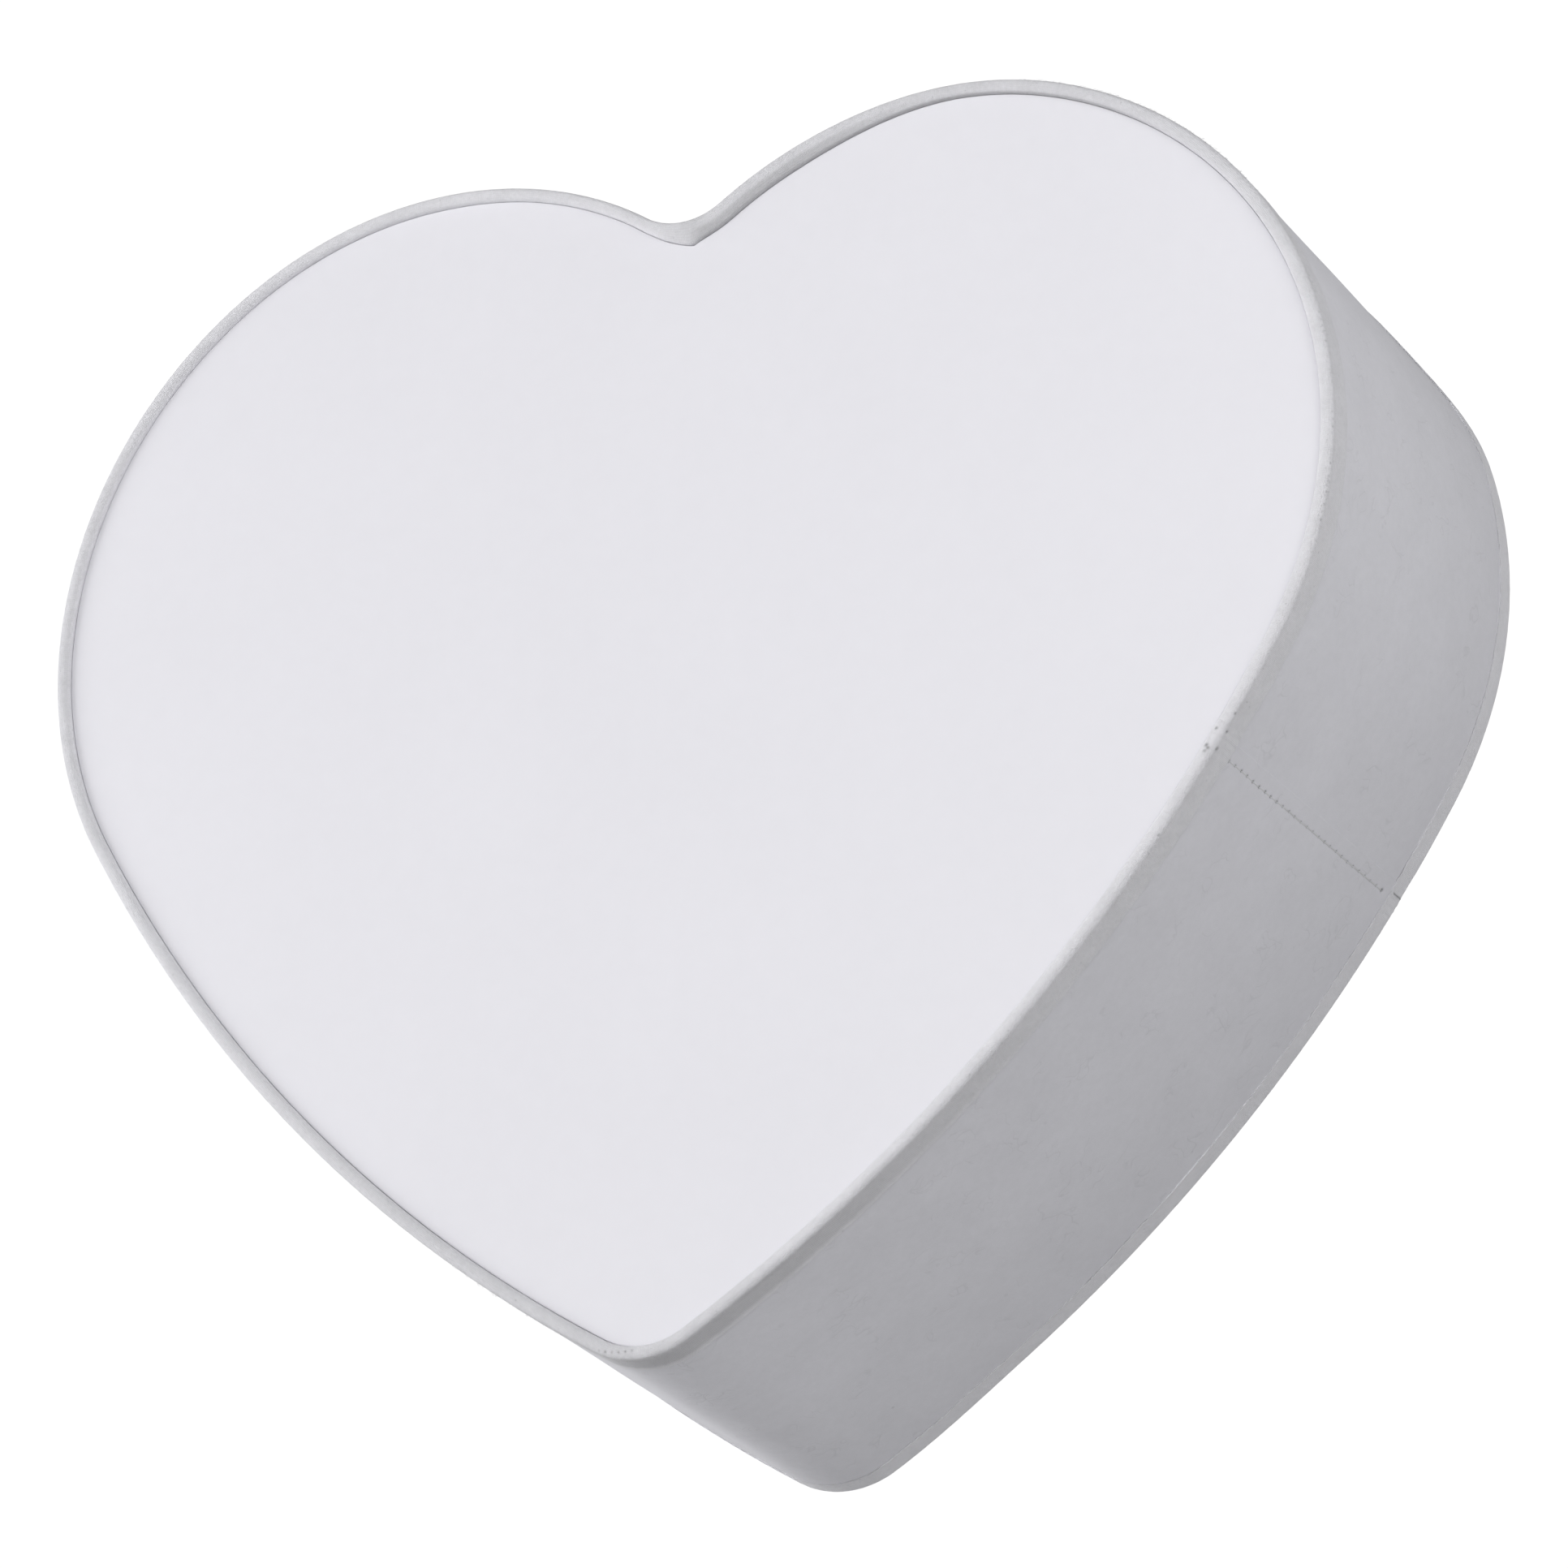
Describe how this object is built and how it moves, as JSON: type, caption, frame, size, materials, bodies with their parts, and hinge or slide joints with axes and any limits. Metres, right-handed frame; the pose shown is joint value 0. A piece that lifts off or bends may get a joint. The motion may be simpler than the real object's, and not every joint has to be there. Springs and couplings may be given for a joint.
{
  "type": "flush light",
  "caption": "Heart-shaped flush wall or ceiling light: fabric shade on wire rings with an opal diffuser, snapped onto a round chassis with screw-in bulbs.",
  "frame": {"origin": "middle of the wall strap's back face, on the wall plane", "axes": "+Y into the wall, -Y towards the room through the diffuser, +Z from the heart's tip to its lobes, +X to the right of a person who faces the light"},
  "size_m": [0.4994, 0.156, 0.4512],
  "materials": {
    "shade_fabric": "matt laminated non-woven fabric",
    "trim_tape": "matt fabric tape",
    "sewing_thread": "matt thread",
    "opal_diffuser": "matt opal sheet",
    "coated_wire": "white powder coat",
    "zinc_steel": "zinc plated",
    "nickel_plate": "polished nickel",
    "white_enamel": "white powder coat",
    "spring_steel": "tempered spring steel",
    "terminal_plastic": "moulded",
    "brass": "plain",
    "earth_sheath": "moulded",
    "lead_sheath": "moulded",
    "porcelain": "glazed",
    "grommet_rubber": "matt",
    "cap_aluminium": "satin",
    "opal_glass": "opal"
  },
  "bodies": {
    "chassis": {"wall_strap": "zinc_steel", "stud_left": "zinc_steel", "stud_right": "zinc_steel", "chassis_pan": "white_enamel", "spring_clip_top": "spring_steel", "spring_clip_left": "spring_steel", "spring_clip_right": "spring_steel", "terminal_block": "terminal_plastic", "terminal_screw_1": "brass", "terminal_screw_2": "brass", "terminal_screw_3": "brass", "earth_screw": "brass", "earth_lead": "earth_sheath", "lamp_bracket_1": "zinc_steel", "lampholder_1": "porcelain", "screw_shell_1": "brass", "centre_contact_1": "brass", "grommet_1": "grommet_rubber", "lamp_lead_1": "lead_sheath", "lamp_bracket_2": "zinc_steel", "lampholder_2": "porcelain", "screw_shell_2": "brass", "centre_contact_2": "brass", "grommet_2": "grommet_rubber", "lamp_lead_2": "lead_sheath", "lamp_bracket_3": "zinc_steel", "lampholder_3": "porcelain", "screw_shell_3": "brass", "centre_contact_3": "brass", "grommet_3": "grommet_rubber", "lamp_lead_3": "lead_sheath"},
    "shade": {"shade_wall": "shade_fabric", "seam_tape": "trim_tape", "seam_thread_outer": "sewing_thread", "seam_thread_inner": "sewing_thread", "front_ring_wire": "coated_wire", "back_ring_wire": "coated_wire", "front_trim_tape": "trim_tape", "back_trim_tape": "trim_tape", "diffuser_panel": "opal_diffuser", "diffuser_clip_1": "zinc_steel", "diffuser_clip_2": "zinc_steel", "diffuser_clip_3": "zinc_steel", "diffuser_clip_4": "zinc_steel", "diffuser_clip_5": "zinc_steel", "diffuser_clip_6": "zinc_steel", "spider_arm_top": "coated_wire", "spider_arm_left": "coated_wire", "spider_arm_right": "coated_wire", "spider_hub": "coated_wire"},
    "bulb_1": {"bulb_1_cap": "cap_aluminium", "bulb_1_globe": "opal_glass"},
    "bulb_2": {"bulb_2_cap": "cap_aluminium", "bulb_2_globe": "opal_glass"},
    "bulb_3": {"bulb_3_cap": "cap_aluminium", "bulb_3_globe": "opal_glass"},
    "nut_left": {"dome_nut_left": "nickel_plate"},
    "nut_right": {"dome_nut_right": "nickel_plate"}
  },
  "joints": [
    {"name": "shade_pull_off", "type": "slide", "parent": "chassis", "child": "shade", "axis": [0, -1, 0], "range_m": [0, 0.12]},
    {"name": "bulb_1_unscrew", "type": "slide", "parent": "chassis", "child": "bulb_1", "axis": [0.866, 0, 0.5], "range_m": [0, 0.03]},
    {"name": "bulb_2_unscrew", "type": "slide", "parent": "chassis", "child": "bulb_2", "axis": [-0.866, 0, 0.5], "range_m": [0, 0.03]},
    {"name": "bulb_3_unscrew", "type": "slide", "parent": "chassis", "child": "bulb_3", "axis": [0, 0, -1], "range_m": [0, 0.03]},
    {"name": "dome_nut_left_unscrew", "type": "slide", "parent": "chassis", "child": "nut_left", "axis": [0, -1, 0], "range_m": [0, 0.012]},
    {"name": "dome_nut_right_unscrew", "type": "slide", "parent": "chassis", "child": "nut_right", "axis": [0, -1, 0], "range_m": [0, 0.012]}
  ]
}
